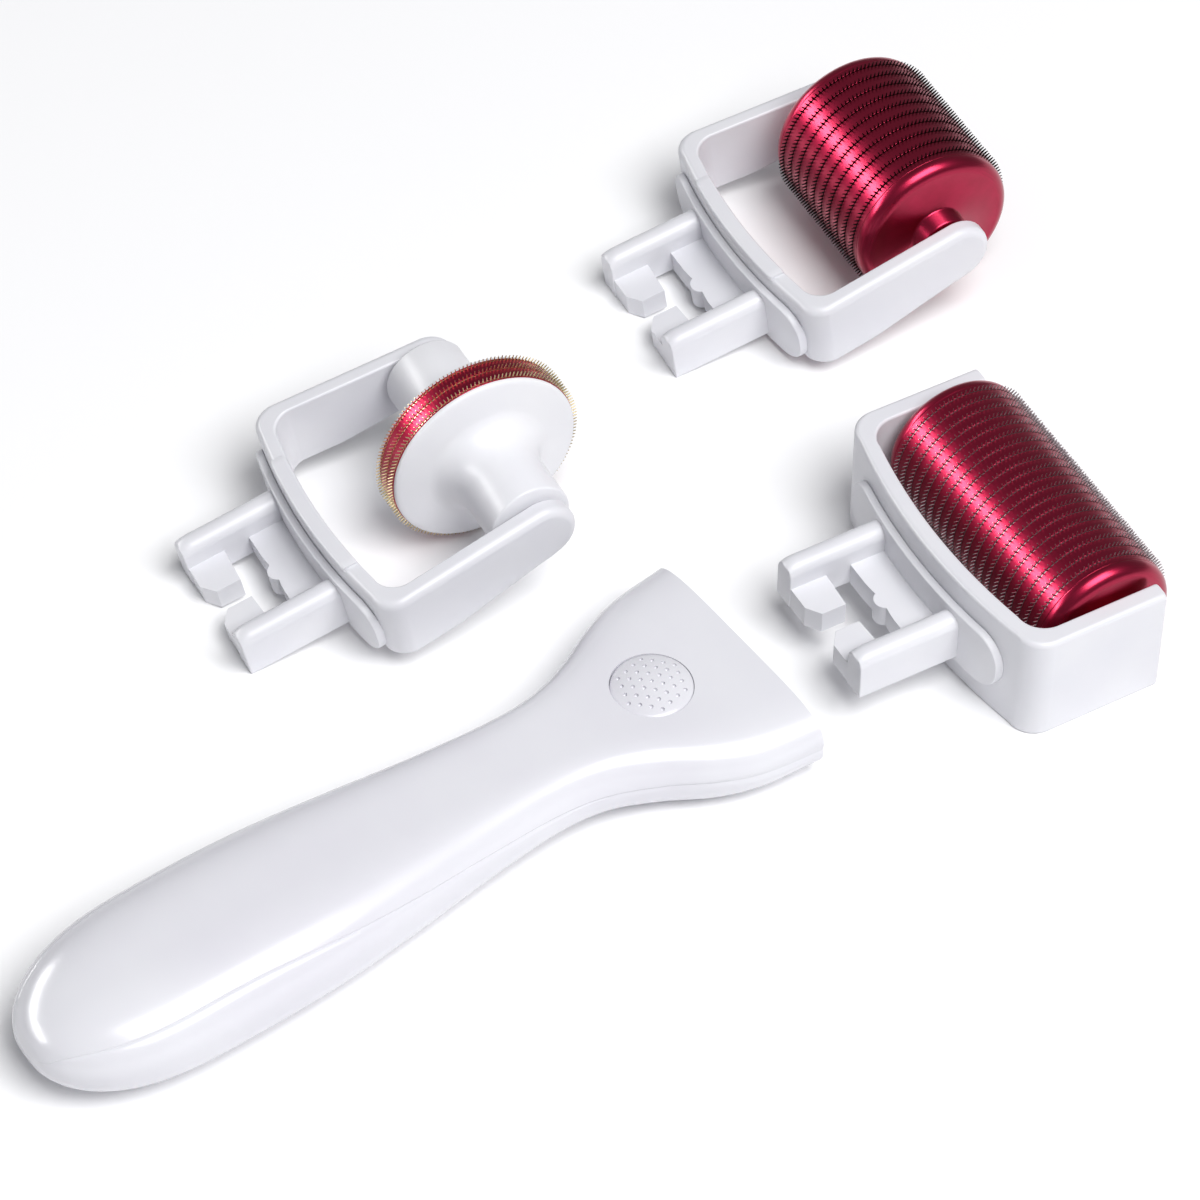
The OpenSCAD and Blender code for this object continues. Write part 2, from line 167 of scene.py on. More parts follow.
shell_low, shell_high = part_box("lower_shell")
top_low, top_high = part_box("upper_shell")
HANDLE_BUTT = Vector((shell_low.x, (shell_low.y + shell_high.y) / 2, 0)) / MM
HANDLE_LENGTH = (shell_high.x - shell_low.x) / MM
SHELL_WALL = 1.5
# Key sections: distance from the butt, half width, underside, top, and how square the flanks and
# the top are
HANDLE_KEYS = [
    (9, 12.5, 0.9, 15.8, 2.4, 2.3), (19, 14.8, 0.1, 16.8, 2.7, 2.3),
    (33, 15.2, 0.04, 17.0, 3.0, 2.2), (47, 14.7, 0.3, 16.6, 3.4, 2.1),
    (60, 13.4, 1.0, 15.9, 4.0, 1.9), (74, 11.6, 1.9, 15.1, 4.8, 1.7),
    (88, 10.4, 2.5, 14.5, 5.4, 1.6), (97, 11.0, 2.3, 14.0, 5.8, 1.6),
    (105, 13.8, 1.3, 13.5, 6.0, 1.7), (113, 18.0, 0.4, 13.0, 6.0, 2.0),
    (120, 20.4, 0.1, 12.8, 5.0, 2.6), (HANDLE_LENGTH, 21.5, 0.05, 12.7, 4.4, 3.4)]
UNDER_SQUARE = 2.6
# The rounded butt ends at NOSE_END, and its curve would be level at NOSE_REACH
NOSE_END, NOSE_REACH = 19.0, 24.0
NOSE_WIDTH, NOSE_HEIGHT, NOSE_MIDDLE = 15.02, 8.42, 8.45
# Side view of the parting line
PARTING = [(0, 9.0), (3, 11.6), (9, 13.2), (20, 14.2), (33, 14.4), (45, 13.6), (60, 12.0),
           (74, 10.6), (88, 9.3), (105, 7.6), (132, 6.2)]


def catmull(a, b, c, d, t):
    """Point at t on the smooth curve from b to c, number by number."""
    return tuple(0.5 * (2 * q + (r - p) * t + (2 * p - 5 * q + 4 * r - s) * t * t
                        + (3 * q - p - 3 * r + s) * t ** 3) for p, q, r, s in zip(a, b, c, d))


def handle_section(x):
    """Half width, underside, top and both squarenesses at a distance from the butt."""
    if x < NOSE_END:
        back, square = (NOSE_REACH - x) / NOSE_REACH, x / NOSE_END
        width = NOSE_WIDTH * (1 - back ** 2.2) ** 0.4545
        half = NOSE_HEIGHT * (1 - back ** 2.6) ** 0.42
        return (width, NOSE_MIDDLE - half, NOSE_MIDDLE + half, 2.05 + 0.65 * square,
                2.05 + 0.25 * square)
    keys = HANDLE_KEYS
    i = max(k for k in range(len(keys) - 1) if keys[k][0] <= x or k == 0)
    low, high = 0.0, 1.0
    window = [keys[max(i - 1, 0)], keys[i], keys[i + 1], keys[min(i + 2, len(keys) - 1)]]
    for _ in range(24):
        middle = (low + high) / 2
        if catmull(*window, middle)[0] < x:
            low = middle
        else:
            high = middle
    return catmull(*window, (low + high) / 2)[1:]


def parting_at(x):
    """Height of the parting line: a smooth cubic through its key points."""
    keys, last = PARTING, len(PARTING) - 1
    i = max(k for k in range(last) if keys[k][0] <= x or k == 0)

    def slope(k):
        before, after = keys[max(k - 1, 0)], keys[min(k + 1, last)]
        return (after[1] - before[1]) / (after[0] - before[0])

    span = keys[i + 1][0] - keys[i][0]
    t = (x - keys[i][0]) / span
    return (keys[i][1] * (1 + 2 * t) * (1 - t) ** 2 + slope(i) * span * t * (1 - t) ** 2
            + keys[i + 1][1] * t * t * (3 - 2 * t) + slope(i + 1) * span * t * t * (t - 1))


def section_point(section, angle, inset):
    """Point (across, up) of a section's outline, moved inwards by the inset."""
    width, under, top, flank, crown = section
    w, h = width - inset, (top - under) / 2 - inset
    c, s = math.cos(angle), math.sin(angle)
    y = w * math.copysign(abs(c) ** (2 / flank), c)
    power = crown if s > 0 else UNDER_SQUARE
    return y, (top + under) / 2 + h * math.copysign(abs(s) ** (2 / power), s)


def parting_angle(section, z, inset):
    """Angle at which a section's outline meets the parting line's height."""
    under, top, crown = section[1], section[2], section[4]
    h = (top - under) / 2 - inset
    ratio = max(-0.97, min(0.97, (z - (top + under) / 2) / h))
    power = crown if ratio > 0 else UNDER_SQUARE
    return math.asin(math.copysign(abs(ratio) ** (power / 2), ratio))


def half_ring(x, inset, upper, count, squeeze=0.0):
    """Points of one half of a section, from its near parting edge to its far one."""
    section = handle_section(x)
    start = parting_angle(section, parting_at(x), inset)
    a, b = (start, math.pi - start) if upper else (start, -math.pi - start)
    ring = []
    for k in range(count + 1):
        t = k / count
        pinch = squeeze if k in (0, count) else 0.0
        y, z = section_point(section, a + (b - a) * t, inset + pinch)
        ring.append((x, -y, z))
    return ring


def grid_faces(rows, columns, offset=0, flip=False):
    """Quads of a grid of points, row after row."""
    corners = [offset + i * columns + j for i in range(rows - 1) for j in range(columns - 1)]
    quads = [(a, a + 1, a + columns + 1, a + columns) for a in corners]
    return [quad[::-1] for quad in quads] if flip else quads


def make_object(name, points, faces, place=None):
    """A mesh object from millimetre points, laid by a matrix, with its normals outwards."""
    mesh = bpy.data.meshes.new(name)
    place = place or Matrix.Identity(4)
    mesh.from_pydata([(place @ Vector(p)) * MM for p in points], [], faces)
    work = bmesh.new()
    work.from_mesh(mesh)
    bmesh.ops.remove_doubles(work, verts=work.verts, dist=1e-7)
    bmesh.ops.dissolve_degenerate(work, edges=work.edges, dist=1e-8)
    bmesh.ops.recalc_face_normals(work, faces=work.faces)
    work.to_mesh(mesh)
    work.free()
    piece = bpy.data.objects.new(name, mesh)
    scene.collection.objects.link(piece)
    return piece


def arc_points(centre, radius, start, end, steps):
    """Points of an arc from one angle in degrees to another."""
    turns = [math.radians(start + (end - start) * k / steps) for k in range(steps + 1)]
    return [(centre[0] + radius * math.cos(a), centre[1] + radius * math.sin(a)) for a in turns]


def skin(rings):
    """Points of rings that have the same number of them, and the quads from ring to ring."""
    n = len(rings[0])
    faces = []
    for i in range(len(rings) - 1):
        for j in range(n):
            a, b = i * n + j, i * n + (j + 1) % n
            faces.append((a, b, b + n, a + n))
    return [p for ring in rings for p in ring], faces


def loft(name, rings, place=None):
    """Closed skin over rings that have the same number of points."""
    points, faces = skin(rings)
    n = len(rings[0])
    faces += [tuple(range(n))[::-1], tuple(range(len(points) - n, len(points)))]
    return make_object(name, points, faces, place)


def set_sharp(mesh, degrees):
    """Smooth shading, with a hard edge wherever two faces meet at more than the angle."""
    work = bmesh.new()
    work.from_mesh(mesh)
    for face in work.faces:
        face.smooth = True
    for edge in work.edges:
        edge.smooth = len(edge.link_faces) == 2 and edge.calc_face_angle(0) < math.radians(degrees)
    work.to_mesh(mesh)
    work.free()


def bake_modifiers(piece):
    """Turns a piece with modifiers into the plain mesh that they give."""
    graph = bpy.context.evaluated_depsgraph_get()
    graph.update()
    mesh = bpy.data.meshes.new_from_object(piece.evaluated_get(graph))
    old = piece.data
    piece.modifiers.clear()
    piece.data = mesh
    mesh.name = piece.name
    bpy.data.meshes.remove(old)
    return piece


def flatten_normals(piece, degrees=40):
    """Lets big faces rule the shading of the small rounded edges beside them."""
    set_sharp(piece.data, degrees)
    weight = piece.modifiers.new("weight", "WEIGHTED_NORMAL")
    weight.keep_sharp = True
    weight.weight = 80
    return bake_modifiers(piece)


def handle_shell(name, upper):
    """Outer skin, inner skin and the rims that join them, with a fine groove at the parting."""
    count, groove = 48, 0.2
    nose_steps, body_steps, nose_end, nose_height, hollow_start = 12, 126, 3.0, 8.5, 9.0
    steps = [0.6 + 0.2 * k for k in range(nose_steps)]
    steps += [nose_end + k * (HANDLE_LENGTH - nose_end) / body_steps for k in range(body_steps + 1)]
    outer = [half_ring(x, 0, upper, count, groove) for x in steps]
    inner = [half_ring(max(x, hollow_start), SHELL_WALL, upper, count) for x in steps]
    rows, columns = len(steps), count + 1
    points = [p for ring in outer for p in ring] + [p for ring in inner for p in ring]
    inside = rows * columns
    faces = grid_faces(rows, columns) + grid_faces(rows, columns, inside, True)
    last = (rows - 1) * columns
    rims = [(i * columns + j, (i + 1) * columns + j) for i in range(rows - 1) for j in (0, count)]
    rims += [(last + j, last + j + 1) for j in range(count)]
    faces += [(a, b, b + inside, a + inside) for a, b in rims]
    for first, end in ((0, (0.0, 0.0, nose_height)),
                       (inside, (hollow_start, 0.0, parting_at(hollow_start)))):
        faces += [(first + j, first + j + 1, len(points)) for j in range(count)]
        points.append(end)
    return make_object(name, points, faces, Matrix.Translation(HANDLE_BUTT))


def moulded_white(name, colours, roughness, mottle, coat):
    """Moulded ABS: its white drifts a little across the piece, and its skin has a fine grain."""
    material, tree, shader = new_material(name, {
        "Roughness": roughness, "IOR": 1.53, "Coat Weight": coat, "Coat Roughness": 0.15,
        "Subsurface Weight": 0.08, "Subsurface Radius": (0.0012, 0.0010, 0.0011),
        "Subsurface Scale": 0.4})
    place = add_node(tree, "ShaderNodeTexCoord")
    flow = add_node(tree, "ShaderNodeTexNoise", [("Vector", place.outputs["Object"])],
                    in_Scale=mottle, in_Detail=3.0)
    shade = add_node(tree, "ShaderNodeValToRGB", [("Fac", flow.outputs["Fac"])])
    for stop, position, colour in zip(shade.color_ramp.elements, (0.3, 0.7), colours):
        stop.position, stop.color = position, hex_colour(colour)
    tree.links.new(shade.outputs["Color"], shader.inputs["Base Color"])
    grain = add_node(tree, "ShaderNodeTexNoise", [("Vector", place.outputs["Object"])],
                     in_Scale=1500.0, in_Detail=2.0)
    bump = add_node(tree, "ShaderNodeBump", [("Height", grain.outputs["Fac"])],
                    in_Strength=0.04, in_Distance=0.00005)
    tree.links.new(bump.outputs["Normal"], shader.inputs["Normal"])
    return material


handle_abs = moulded_white("gloss_moulded_abs", ("#DAD9E0", "#E0E0E5"), 0.24, 40.0, 0.15)


def finish(piece, body, material, slot, *replaced):
    """Gives a piece its material and its place in the frame."""
    piece.data.materials.clear()
    piece.data.materials.append(material)
    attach(piece, body)
    if replaced:
        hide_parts(*replaced)
    return piece


button_low, button_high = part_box("release_button")
BUTTON_AT = (button_low + button_high) / 2 / MM
BUTTON_HOLE = 6.58


def combine(piece, other, operation):
    """Fuses another solid with a piece, or cuts it out of the piece, and deletes the other."""
    step = piece.modifiers.new("combine", "BOOLEAN")
    step.operation, step.solver, step.object = operation, "EXACT", other
    bake_modifiers(piece)
    bpy.data.objects.remove(other)


def drill(piece, radius, low, high, centre):
    """Cuts a round hole along Z."""
    ring = arc_points(centre, radius, 0, 360, 96)[:-1]
    cutter = loft("cutter", [[(x, y, z) for x, y in ring] for z in (low, high)])
    combine(piece, cutter, "DIFFERENCE")


lower_shell = handle_shell("handle_lower_moulding", False)
flatten_normals(lower_shell, 35)
finish(lower_shell, "handle", handle_abs, "handle_white", "lower_shell")
upper_shell = handle_shell("handle_upper_moulding", True)
drill(upper_shell, BUTTON_HOLE, 8, 20, BUTTON_AT)
flatten_normals(upper_shell, 35)
finish(upper_shell, "handle", handle_abs, "handle_white", "upper_shell")

# ---- Socket frame and spring --------------------------------------------------------------------
# Inside the mouth an acetal frame guides a head's prongs and carries the spring of the button. The
# frame is pressed in from the front; the spring is a small stainless coil that sits on its seat.


def acetal_plastic():
    """Acetal, moulded: waxy and a little translucent, so it reads warmer than the ABS."""
    material, tree, shader = new_material("natural_acetal", {
        "Roughness": 0.38, "IOR": 1.48, "Subsurface Weight": 0.15,
        "Subsurface Radius": (0.001, 0.001, 0.0009), "Subsurface Scale": 0.5})
    place = add_node(tree, "ShaderNodeTexCoord")
    cloud = add_node(tree, "ShaderNodeTexNoise", [("Vector", place.outputs["Object"])],
                     in_Scale=300.0, in_Detail=3.0)
    tint = add_node(tree, "ShaderNodeMix", [("Factor", cloud.outputs["Fac"])], data_type="RGBA",
                    in_6=hex_colour("#E4E2DA"), in_7=hex_colour("#EDEBE4"))
    tree.links.new(tint.outputs[2], shader.inputs["Base Color"])
    return material


def stainless(name, roughness, colours):
    """Stainless steel between two given tones, its tone broken up by a grain too fine to see one by one;
    bright, except where near-black tones paint shade.
    """
    material, tree, shader = new_material(name, {"Metallic": 1.0, "Roughness": roughness})
    place = add_node(tree, "ShaderNodeTexCoord")
    grain = add_node(tree, "ShaderNodeTexNoise", [("Vector", place.outputs["Object"])],
                     in_Scale=2500.0, in_Detail=2.0)
    tint = add_node(tree, "ShaderNodeMix", [("Factor", grain.outputs["Fac"])], data_type="RGBA",
                    in_6=hex_colour(colours[0]), in_7=hex_colour(colours[1]))
    tree.links.new(tint.outputs[2], shader.inputs["Base Color"])
    return material


acetal = acetal_plastic()
spring_steel = stainless("spring_steel_wire", 0.25, ("#9FA3A8", "#B9BCC2"))


def dress(node, material):
    """Gives a CAD node its material where its own shape is right."""
    piece = nodes[node]
    piece.data.materials.clear()
    piece.data.materials.append(material)


dress("socket_frame", acetal)


def coil_spring():
    """Round wire wound into four turns, its end turns lying flat."""
    low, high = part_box("button_spring")
    centre, wire, turns = (low + high) / 2 / MM, 0.25, 4.0
    radius = (high.x - low.x) / 2 / MM - wire
    bottom, top = low.z / MM + wire, high.z / MM - wire
    sides, steps, flat = 8, 120, 0.12
    rings = []
    for i in range(steps + 1):
        t = i / steps
        a = 2 * math.pi * turns * t
        rise = bottom + (top - bottom) * min(max((t - flat) / (1 - 2 * flat), 0), 1)
        rings.append([(centre.x + r * math.cos(a), centre.y + r * math.sin(a), z)
                      for r, z in arc_points((radius, rise), wire, 0, 360, sides)[:-1]])
    piece = loft("button_coil_spring", rings)
    set_sharp(piece.data, 50)
    return piece


spring = finish(coil_spring(), "handle", spring_steel, "spring_steel", "button_spring")
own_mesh(spring)

# ---- Release button -------------------------------------------------------------------------------
# The thumb button is a shallow ABS dome pressed from below into a round hole over the claws. Small
# round pits are moulded into its crown for grip.

BUTTON_RADIUS = 6.5
PIT_PITCH, PIT_RADIUS, PIT_DEPTH = 1.75, 0.36, -0.14


def dome_height(r):
    crown, edge_z = 19.0, 12.9
    return edge_z + math.sqrt(crown ** 2 - r ** 2) - math.sqrt(crown ** 2 - BUTTON_RADIUS ** 2)


def button_dome():
    radius, collar, collar_top, skirt, stem, foot = BUTTON_RADIUS, 7.2, 10.3, 9.6, 2.0, 7.0
    profile = [(r / 4, dome_height(r / 4)) for r in range(25)]
    profile += [(radius - 0.2, dome_height(radius - 0.2) - 0.03),
                (radius - 0.06, dome_height(radius) - 0.12), (radius, dome_height(radius) - 0.3),
                (radius, collar_top), (collar, collar_top), (collar, skirt), (stem, skirt),
                (stem, foot), (0.0, foot)]
    place = Matrix.Translation((BUTTON_AT.x, BUTTON_AT.y, 0))
    return lathe("release_button_dome", profile, 96, place)


def lathe(name, profile, steps, place):
    """Turned piece about Z from (radius, height) points; ends on the axis are closed."""
    points, faces, rings = [], [], []
    for r, z in profile:
        if r < 1e-6:
            rings.append([len(points)] * steps)
            points.append((0.0, 0.0, z))
        else:
            rings.append(list(range(len(points), len(points) + steps)))
            turns = [2 * math.pi * k / steps for k in range(steps)]
            points += [(r * math.cos(a), r * math.sin(a), z) for a in turns]
    closed = profile[0][0] > 1e-6
    pairs = list(zip(rings, rings[1:])) + ([(rings[-1], rings[0])] if closed else [])
    for a, b in pairs:
        for k in range(steps):
            n = (k + 1) % steps
            corners = [a[k], a[n], b[n], b[k]]
            face = [c for i, c in enumerate(corners) if c != corners[i - 1]]
            if len(face) > 2:
                faces.append(tuple(face))
    return make_object(name, points, faces, place)


def new_tree(name, **inputs):
    """A geometry tree with the given inputs: the tree, and their sockets inside it."""
    tree = bpy.data.node_groups.new(name, "GeometryNodeTree")
    for label, kind in inputs.items():
        tree.interface.new_socket(label, in_out="INPUT", socket_type="NodeSocket" + kind)
    tree.interface.new_socket("Shape", in_out="OUTPUT", socket_type="NodeSocketGeometry")
    return tree, add_node(tree, "NodeGroupInput").outputs


def close_tree(tree, shape, material):
    """Turns the copies in a tree's shape into mesh, gives it its material and hands it out."""
    real = add_node(tree, "GeometryNodeRealizeInstances", [(0, shape)])
    paint = add_node(tree, "GeometryNodeSetMaterial",
                     [("Geometry", real.outputs[0]), ("Material", material)])
    add_node(tree, "NodeGroupOutput", [(0, paint.outputs[0])])
    return tree


def dimple_tree():
    """A sphere on every point of a grid, all cut from the dome at once."""
    tree, give = new_tree("grip_dimples", Dome="Geometry", Radius="Float", Depth="Float",
                          Pits="Object", Plastic="Material")
    pits = add_node(tree, "GeometryNodeObjectInfo", [("Object", give["Pits"])])
    ball = add_node(tree, "GeometryNodeMeshIcoSphere", [("Radius", give["Radius"])],
                    in_Subdivisions=3)
    sink = add_node(tree, "ShaderNodeCombineXYZ", [("Z", give["Depth"])])
    lower = add_node(tree, "GeometryNodeSetPosition",
                     [("Geometry", pits.outputs["Geometry"]), ("Offset", sink.outputs[0])])
    spread = add_node(tree, "GeometryNodeInstanceOnPoints",
                      [("Points", lower.outputs[0]), ("Instance", ball.outputs[0])])
    real = add_node(tree, "GeometryNodeRealizeInstances", [(0, spread.outputs[0])])
    cut = add_node(tree, "GeometryNodeMeshBoolean",
                   [("Mesh 1", give["Dome"]), ("Mesh 2", real.outputs[0])],
                   operation="DIFFERENCE", solver="EXACT")
    return close_tree(tree, cut.outputs["Mesh"], give["Plastic"])


def run_tree(piece, tree, **values):
    """Runs a geometry tree on a piece with its inputs set by their identifiers, then bakes it."""
    modifier = piece.modifiers.new(tree.name, "NODES")
    modifier.node_group = tree
    ids = {item.name: item.identifier for item in tree.interface.items_tree
           if item.item_type == "SOCKET" and item.in_out == "INPUT"}
    for name, value in values.items():
        modifier[ids[name]] = value
    piece.update_tag()
    return bake_modifiers(piece)


def dimple_points():
    """Staggered grid of points on the crown, turned a little, inside a round field."""
    rows, field, row_share = [], 5.3, 0.866
    for i in range(-4, 5):
        for j in range(-4, 5):
            x = (i + (j % 2) / 2) * PIT_PITCH
            y = j * PIT_PITCH * row_share
            if math.hypot(x, y) < field:
                rows.append((x, y))
    turn = math.radians(12)
    points = [(BUTTON_AT.x + x * math.cos(turn) - y * math.sin(turn),
               BUTTON_AT.y + x * math.sin(turn) + y * math.cos(turn),
               dome_height(math.hypot(x, y))) for x, y in rows]
    mesh = bpy.data.meshes.new("dimple_places")
    mesh.from_pydata([Vector(p) * MM for p in points], [], [])
    places = bpy.data.objects.new("dimple_places", mesh)
    scene.collection.objects.link(places)
    return places


button = button_dome()
places = dimple_points()
run_tree(button, dimple_tree(), Radius=PIT_RADIUS * MM, Depth=PIT_DEPTH * MM, Pits=places,
         Plastic=handle_abs)
bpy.data.objects.remove(places)
set_sharp(button.data, 28)
finish(button, "button", handle_abs, "handle_white", "release_button")

# ---- Head mouldings: where each head lies ---------------------------------------------------------
# Every head is one white ABS moulding: a fork with two arms, a bowed flange that stops against the
# handle's mouth, and a tang of two prongs with claws. Its own frame starts at the tang's tips.

NARROW_AXLE = (49.0, 8.2)
WIDE_AXLE = (38.0, 7.0)


def head_place(kind, axle):
    """Matrix of a head in millimetres and its yaw, from its roller's joint: it lies on its
    needles, or the wide one on its fork."""
    joint = joints[kind + "_roller_spin"]
    at = Vector(joint["pos_m"]) / MM
    yaw = math.atan2(-joint["axis"][0], joint["axis"][1])
    pitch = 0.0
    if kind != "wide":
        pitch = math.asin(at.z / math.hypot(*axle)) - math.atan2(axle[1], axle[0])
    turn = Matrix.Rotation(yaw, 4, "Z") @ Matrix.Rotation(-pitch, 4, "Y")
    return Matrix.Translation(at) @ turn @ Matrix.Translation((-axle[0], 0, -axle[1])), yaw


heads = {kind: head_place(kind, WIDE_AXLE if kind == "wide" else NARROW_AXLE)
         for kind in ("disc", "mid", "wide")}
head_abs = moulded_white("satin_moulded_abs", ("#DBDBE1", "#E1E1E5"), 0.38, 60.0, 0.05)


def finish_head(piece, kind, node, degrees):
    """Shades one moulding of a head and gives it its place in the frame."""
    flatten_normals(piece, degrees)
    return finish(piece, kind + "_head", head_abs, "head_white", kind + "_head_" + node)


# ---- Tangs ------------------------------------------------------------------------------------------
# Two stiff prongs slide into the socket. Their inward claws snap round its catch, and a low web with
# a rounded nose ties them together in front of the flange. All of it is moulded in one with the fork.


TANG_HALF, PRONG, TANG_HEIGHT, CLAW_HEIGHT = 12.7, 4.0, 8.6, 4.2


def rounded_box_ring(half_a, low, high, radii, steps=5, middle=0.0):
    """Rectangle section with a radius at each corner: points (across, up)."""
    r0, r1, r2, r3 = radii
    corners = [(half_a - r0, low + r0, -90, r0), (half_a - r1, high - r1, 0, r1),
               (r2 - half_a, high - r2, 90, r2), (r3 - half_a, low + r3, 180, r3)]
    return [point for cx, cz, start, r in corners
            for point in arc_points((middle + cx, cz), r, start, start + 90, steps)]


def prong(side, place):
    """One prong: its tip is cut flat, and its top slopes up from the tip."""
    middle = side * (TANG_HALF - PRONG / 2)
    stations = ((0.0, 7.9, 0.14), (0.12, 8.05, 0.02), (0.5, 8.2, 0.0), (1.2, 8.48, 0.0),
                (2.2, TANG_HEIGHT, 0.0), (9.0, TANG_HEIGHT, 0.0), (17.6, TANG_HEIGHT, 0.0))
    edges = (0.3, 1.85, 1.85, 0.3)
    rings = []
    for x, top, inset in stations:
        section = rounded_box_ring(PRONG / 2 - inset, inset, top, edges, 8, middle)
        rings.append([(x, y, z) for y, z in section])
    return loft("prong", rings, place)


def bevel(piece, width):
    """Rounds the sharp edges of a moulding."""
    edge = piece.modifiers.new("edge", "BEVEL")
    edge.width, edge.segments, edge.use_clamp_overlap = width * MM, 2, True
    edge.limit_method, edge.angle_limit = "ANGLE", math.radians(50)
    return bake_modifiers(piece)


def slab(name, outline, place, edge):
    """Plate as high as the claws, from an outline seen from above, with its edges rounded."""
    rings = [[(x, y, z) for x, y in outline] for z in (0.0, CLAW_HEIGHT)]
    return bevel(loft(name, rings, place), edge)


def claw(side, place):
    inner, reach = TANG_HALF - PRONG + 0.3, 2.0
    outline = [(0.15, side * inner), (0.15, side * (reach + 2.4)), (1.9, side * reach),
               (6.2, side * reach), (6.6, side * inner)]
    return slab("claw", outline[::side], place, 0.07)


def web(place):
    """Low web between the prongs, with a round nose between two shallow hollows."""
    inner, back, front, nose_x, nose_r = TANG_HALF - PRONG + 0.3, 17.6, 11.0, 12.1, 1.9
    nose = arc_points((nose_x, 0), nose_r, 115, 245, 10)
    outline = [(back, -inner), (back, inner), (front, inner), (front, 4.2), (front + 0.15, 2.6)]
    outline += nose + [(front + 0.15, -2.6), (front, -4.2), (front, -inner)]
    return slab("web", outline, place, 0.12)


def join_solids(name, solids):
    """Fuses overlapping solids into one closed moulding."""
    base = solids[0]
    for other in solids[1:]:
        combine(base, other, "UNION")
    base.name = base.data.name = name
    return base


def tang(kind, place):
    solids = [prong(1, place), prong(-1, place), claw(1, place), claw(-1, place), web(place)]
    return finish_head(join_solids(kind + "_tang_moulding", solids), kind, "tang", 32)


for kind, (place, yaw) in heads.items():
    tang(kind, place)


# ---- Flanges ----------------------------------------------------------------------------------------
# A thin bowed plate behind the tang closes the handle's mouth when a head is docked. Its corners are
# rounded like the mouth's, and its edge is softened by the mould.


FLANGE_X, FLANGE_THICK, FLANGE_HEIGHT, FLANGE_HALF = 16.8, 1.4, 11.0, 21.5
BOW = 2.2


def bow_at(y):
    return BOW * (y / FLANGE_HALF) ** 2


def flange(kind, place):
    """Bowed plate, built of upright sections from one side to the other."""
    middle, corner, edge, steps, least_half = TANG_HEIGHT / 2, 4.9, 0.32, 30, 0.45
    rings = []
    for k in range(-steps, steps + 1):
        t = k / steps
        y = FLANGE_HALF * math.sin(math.radians(90 * t))
        past = max(abs(y) - (FLANGE_HALF - corner), 0)
        drop = corner - math.sqrt(max(corner ** 2 - past ** 2, 0.0))
        half_h = max(FLANGE_HEIGHT / 2 - drop, least_half)
        shrink = 0.0 if abs(t) < 0.999 else 0.25
        section = rounded_box_ring(FLANGE_THICK / 2 - shrink, middle - half_h, middle + half_h,
                                   (edge,) * 4, 4, FLANGE_X + FLANGE_THICK / 2)
        rings.append([(x + bow_at(y), y, z) for x, z in section])
    return finish_head(loft(kind + "_flange_plate", rings, place), kind, "flange", 35)


for kind, (place, yaw) in heads.items():
    flange(kind, place)


# ---- Rim clips --------------------------------------------------------------------------------------
# On the two narrow heads a strip is hooked over the rim of the back wall, a little proud of it.


FORK_X = FLANGE_X + FLANGE_THICK + 0.02
BACK_WALL, NARROW_TOP = 2.9, 12.8


def rim_clip(kind, place):
    """Strip that follows the bowed rim, its two ends a little smaller."""
    half, steps = 13.0, 20
    rings = []
    for k in range(-steps, steps + 1):
        y = half * k / steps
        shrink = 0.15 if abs(k) == steps else 0.0
        section = rounded_box_ring(BACK_WALL / 2 - 0.05 - shrink, NARROW_TOP - 0.35,
                                   NARROW_TOP + 0.6 - shrink, (0.1, 0.5, 0.5, 0.1), 5,
                                   FORK_X + BACK_WALL / 2 - 0.05)
        rings.append([(x + bow_at(y), y, z) for x, z in section])
    return finish_head(loft(kind + "_rim_strip", rings, place), kind, "rim_clip", 40)


for kind in ("disc", "mid"):
    rim_clip(kind, heads[kind][0])


# ---- Forks ------------------------------------------------------------------------------------------
# The fork is a deep U of thick wall with a generously rounded outer rim. The narrow heads' arms end in
# a full round about the axle, and the wide head's are cut square.


ARM_WALL = 3.2


def fork_path(half, tip_half, tip_x, radius, last_x):
    """Outer and inner points of one side of a fork, seen from above, from its middle to its tip."""
    wall, steps = ARM_WALL, 12

    def side(x0, reach, r, end_half):
        line = [(x0 + bow_at((reach - r) * i / steps), (reach - r) * i / steps) for i in range(steps)]
        line += arc_points((x0 + bow_at(reach - r) + r, reach - r), r, 180, 92, steps)
        start = line[-1]
        slope = (end_half - start[1]) / (tip_x - start[0])
        arm = [start[0] + (last_x - start[0]) * i / steps for i in range(1, steps + 1)]
        return line + [(x, start[1] + slope * (x - start[0])) for x in arm]
    inner = side(FORK_X + BACK_WALL, half - wall, radius, tip_half - wall)
    return side(FORK_X, half, radius, tip_half), inner


def wall_section(outer, inner, low, middle, top, radii, inset=0.0):
    """One upright section of the fork's wall, as two half loops that meet at the middle height."""
    width = math.hypot(inner[0] - outer[0], inner[1] - outer[1])
    out = (inner[0] - outer[0], inner[1] - outer[1])

    def at(t, z):
        share = min(max((t + (inset if t < width / 2 else -inset)) / width, 0), 1)
        return outer[0] + out[0] * share, outer[1] + out[1] * share, z

    r_out, r_in, r_low = radii
    roof, floor = top - inset, low + inset
    turns = [(math.cos(math.radians(15 * k)), math.sin(math.radians(15 * k))) for k in range(7)]
    upper = [at(0, middle)]
    upper += [at(r_out - r_out * c, roof - r_out + r_out * s) for c, s in turns]
    upper += [at(width - r_in + r_in * s, roof - r_in + r_in * c) for c, s in turns]
    upper.append(at(width, middle))
    lower = [at(width - r_in + r_in * c, floor + r_in - r_in * s) for c, s in turns]
    lower += [at(r_low - r_low * s, floor + r_low - r_low * c) for c, s in turns]
    return upper, lower


